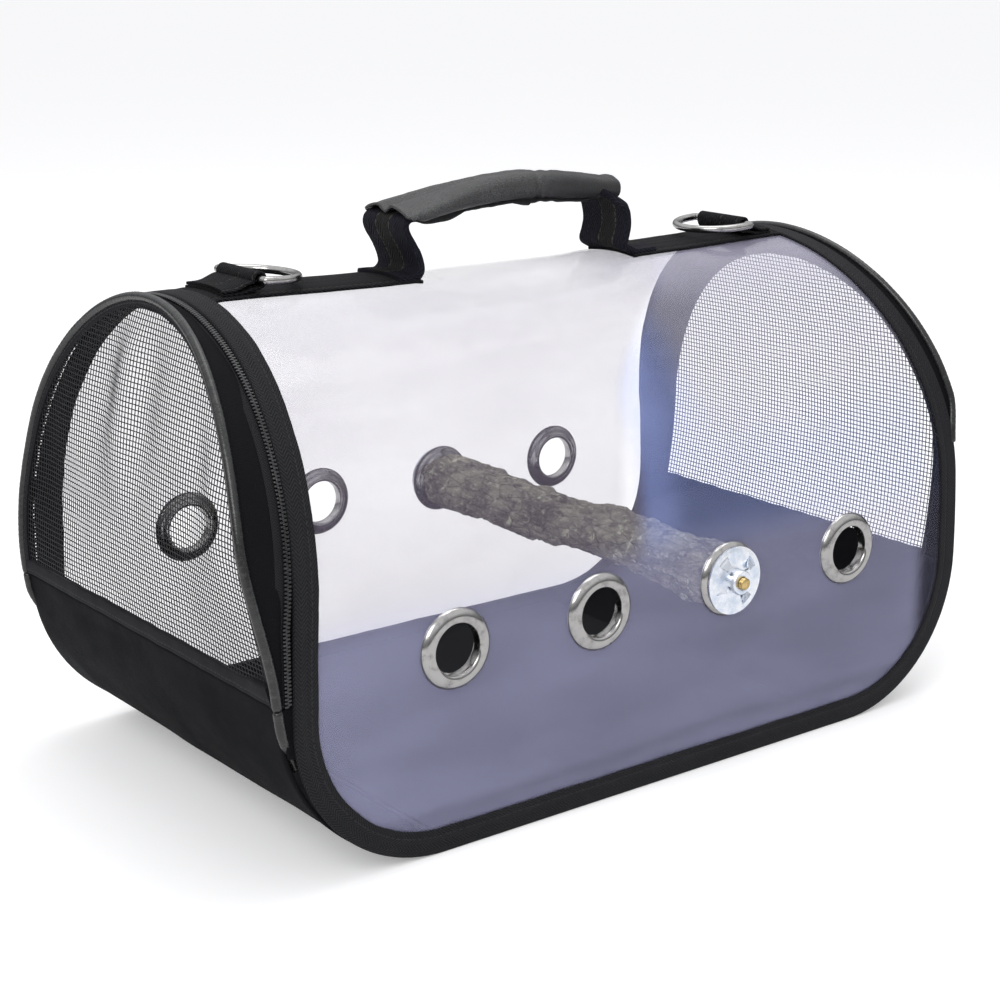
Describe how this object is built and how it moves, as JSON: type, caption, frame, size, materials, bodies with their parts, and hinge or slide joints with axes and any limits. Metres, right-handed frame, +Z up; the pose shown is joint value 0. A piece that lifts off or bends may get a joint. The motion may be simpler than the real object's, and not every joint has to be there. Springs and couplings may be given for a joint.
{
  "type": "bird travel carrier",
  "caption": "Soft-sided barrel-top bird carrier with clear bound walls, zipped net door, net end, bark perch through eyelets, folding webbing handle and strap rings.",
  "frame": {"origin": "on the ground, midway between the side openings' outer edges and midway between the front and back walls", "axes": "+X along the carrier from the zipped door to the fixed end, -Y out of the front wall, +Z up"},
  "size_m": [0.4354, 0.2668, 0.2864],
  "materials": {
    "clear_vinyl": "gloss",
    "tape": "matte",
    "cloth": "matte",
    "board": "matte",
    "zip_teeth": "satin",
    "piping": "gloss",
    "net": "matte",
    "nickel": "polished",
    "zinc": "satin",
    "brass": "satin",
    "bark": "matte",
    "webbing": "matte",
    "leatherette": "satin"
  },
  "bodies": {
    "carrier": {"clear_wall": "clear_vinyl", "left_binding": "tape", "right_binding": "tape", "front_hem": "tape", "back_hem": "tape", "base_cloth": "cloth", "left_end_panel": "cloth", "right_end_panel": "cloth", "base_board": "board", "floor_lining": "cloth", "left_gusset": "cloth", "zip_tape": "cloth", "zip_body_half": "zip_teeth", "base_piping": "piping", "right_gusset": "cloth", "right_piping": "piping", "right_border": "cloth", "right_net": "net", "front_eyelets": "nickel", "front_eyelet_washers": "nickel", "back_eyelets": "nickel", "back_eyelet_washers": "nickel", "perch_branch": "bark", "perch_studs": "brass", "left_strap": "webbing", "right_strap": "webbing", "left_ring_tab": "webbing", "right_ring_tab": "webbing"},
    "door": {"door_strip": "cloth", "zip_door_half": "zip_teeth", "door_piping": "piping", "door_net": "net", "door_hem": "cloth"},
    "slider": {"zip_slider": "nickel"},
    "pull": {"zip_pull_tab": "nickel"},
    "left_ring": {"left_strap_ring": "nickel"},
    "right_ring": {"right_strap_ring": "nickel"},
    "left_leg": {"left_handle_leg": "webbing"},
    "right_leg": {"right_handle_leg": "webbing"},
    "grip": {"handle_core": "webbing", "handle_wrap": "leatherette"},
    "front_nut": {"front_perch_nut": "zinc"},
    "back_nut": {"back_perch_nut": "zinc"}
  },
  "joints": [
    {"name": "door_swing", "type": "hinge", "parent": "carrier", "child": "door", "pos_m": [-0.21983, 0, 0.0881], "axis": [0, -1, 0], "range_deg": [0, 105]},
    {"name": "zip_slide", "type": "hinge", "parent": "carrier", "child": "slider", "pos_m": [-0.21263, 0, 0.12379], "axis": [0.9935, 0, -0.1142], "range_deg": [0, 173.4]},
    {"name": "pull_swing", "type": "hinge", "parent": "slider", "child": "pull", "pos_m": [-0.2118, 0.12666, 0.13108], "axis": [0.9935, 0, -0.1142], "range_deg": [0, 165]},
    {"name": "left_ring_swing", "type": "hinge", "parent": "carrier", "child": "left_ring", "pos_m": [-0.158, 0, 0.2505], "axis": [0, -1, 0], "range_deg": [0, 165]},
    {"name": "right_ring_swing", "type": "hinge", "parent": "carrier", "child": "right_ring", "pos_m": [0.147, 0, 0.2505], "axis": [0, 1, 0], "range_deg": [0, 165]},
    {"name": "left_leg_swing", "type": "hinge", "parent": "carrier", "child": "left_leg", "pos_m": [-0.066, 0, 0.2491], "axis": [0, 1, 0], "range_deg": [-75, 75], "stiffness_Nm_per_rad": 0.1},
    {"name": "grip_level", "type": "hinge", "parent": "left_leg", "child": "grip", "pos_m": [-0.066, 0, 0.2636], "axis": [0, 1, 0], "range_deg": [-75, 75]},
    {"name": "right_leg_swing", "type": "hinge", "parent": "carrier", "child": "right_leg", "pos_m": [0.066, 0, 0.2491], "axis": [0, 1, 0], "range_deg": [-75, 75]},
    {"name": "front_nut_turn", "type": "hinge", "parent": "carrier", "child": "front_nut", "pos_m": [0.04175, -0.1243, 0.0955], "axis": [0, -1, 0], "continuous": true},
    {"name": "back_nut_turn", "type": "hinge", "parent": "carrier", "child": "back_nut", "pos_m": [0.04175, 0.1243, 0.0955], "axis": [0, 1, 0], "continuous": true}
  ],
  "couplings": [
    {"joint": "grip_level", "follows": "left_leg_swing", "ratio": -1},
    {"joint": "right_leg_swing", "follows": "left_leg_swing", "ratio": 1}
  ]
}
